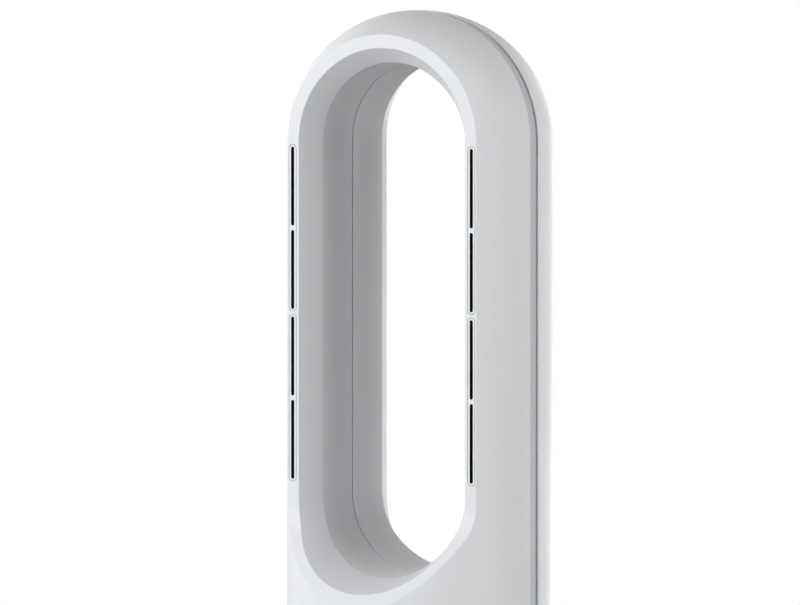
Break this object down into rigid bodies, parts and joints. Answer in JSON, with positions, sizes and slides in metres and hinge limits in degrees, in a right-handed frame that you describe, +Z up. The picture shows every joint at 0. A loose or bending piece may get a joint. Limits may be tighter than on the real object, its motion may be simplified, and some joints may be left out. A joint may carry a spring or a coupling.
{
  "type": "bladeless tower fan",
  "caption": "Free-standing bladeless tower fan: capsule-shaped body with a tall stadium opening, slotted front band, round base, swinging body, hidden impeller and push buttons.",
  "frame": {"origin": "centre of the round footprint, on the floor under the rubber feet", "axes": "+Z up along the tower's axis, -Y towards the front band with its air slots, +X to the right for someone who looks along +Y at the front"},
  "size_m": [0.27, 0.27, 0.9399],
  "materials": {
    "shell_white": "satin",
    "panel_white": "satin",
    "insert_white": "satin",
    "button_white": "soft gloss",
    "grille_white": "fine texture",
    "trim_grey": "satin",
    "base_grey": "fine texture",
    "black_plastic": "matt",
    "impeller_grey": "satin",
    "acetal": "waxy",
    "rubber_dark": "matt",
    "steel": "plated",
    "magnet": "sintered",
    "winding": "laminated core with winding",
    "cast_weight": "raw casting",
    "filter_mesh": "fine mesh",
    "board_green": "coated board",
    "window_smoke": "smoked gloss"
  },
  "bodies": {
    "base": {"rubber_feet": "rubber_dark", "base_pan": "base_grey", "base_weight": "cast_weight", "base_cover": "shell_white", "base_screws": "steel", "power_inlet": "black_plastic", "fixed_gear": "acetal", "slide_ring": "acetal", "retaining_plate": "acetal", "retaining_screws": "steel"},
    "tower": {"chassis_floor": "grille_white", "pivot_bushing": "acetal", "swing_motor": "steel", "swing_motor_screws": "steel", "intake_grille": "grille_white", "inlet_filter": "filter_mesh", "mid_plate": "trim_grey", "shell_screws": "steel", "rubber_mounts": "rubber_dark", "casing_seal": "rubber_dark", "fan_casing": "black_plastic", "bellmouth": "black_plastic", "motor_bearings": "steel", "motor_can": "steel", "motor_stator": "winding", "diffuser": "black_plastic", "plenum": "black_plastic", "flow_divider": "black_plastic", "duct_left": "black_plastic", "duct_right": "black_plastic", "nozzle_left_lower": "insert_white", "nozzle_left_upper": "insert_white", "nozzle_right_lower": "insert_white", "nozzle_right_upper": "insert_white", "front_shell": "shell_white", "rear_shell": "shell_white", "seam_gasket": "rubber_dark", "bore_gasket": "rubber_dark", "control_panel": "panel_white", "display_window": "window_smoke", "display_board": "board_green", "main_board": "board_green"},
    "pinion": {"swing_pinion": "acetal"},
    "rotor": {"impeller": "impeller_grey", "motor_shaft": "steel", "rotor_magnet": "magnet"},
    "button_power": {"button_power": "button_white"},
    "button_slower": {"button_slower": "button_white"},
    "button_faster": {"button_faster": "button_white"},
    "button_swing": {"button_swing": "button_white"}
  },
  "joints": [
    {"name": "swing", "type": "hinge", "parent": "base", "child": "tower", "pos_m": [0, 0, 0.04], "axis": [0, 0, 1], "range_deg": [-40, 40]},
    {"name": "pinion_spin", "type": "hinge", "parent": "tower", "child": "pinion", "pos_m": [0, 0.055, 0.03], "axis": [0, 0, 1], "range_deg": [-110, 110]},
    {"name": "fan_spin", "type": "hinge", "parent": "tower", "child": "rotor", "pos_m": [0, 0, 0.3], "axis": [0, 0, 1], "continuous": true},
    {"name": "button_power_press", "type": "slide", "parent": "tower", "child": "button_power", "axis": [0, 1, 0], "range_m": [0, 0.001], "stiffness_N_per_m": 500},
    {"name": "button_slower_press", "type": "slide", "parent": "tower", "child": "button_slower", "axis": [0, 1, 0], "range_m": [0, 0.001], "stiffness_N_per_m": 500},
    {"name": "button_faster_press", "type": "slide", "parent": "tower", "child": "button_faster", "axis": [0, 1, 0], "range_m": [0, 0.001], "stiffness_N_per_m": 500},
    {"name": "button_swing_press", "type": "slide", "parent": "tower", "child": "button_swing", "axis": [0, 1, 0], "range_m": [0, 0.001], "stiffness_N_per_m": 500}
  ],
  "couplings": [
    {"joint": "pinion_spin", "follows": "swing", "ratio": 2.6667}
  ]
}
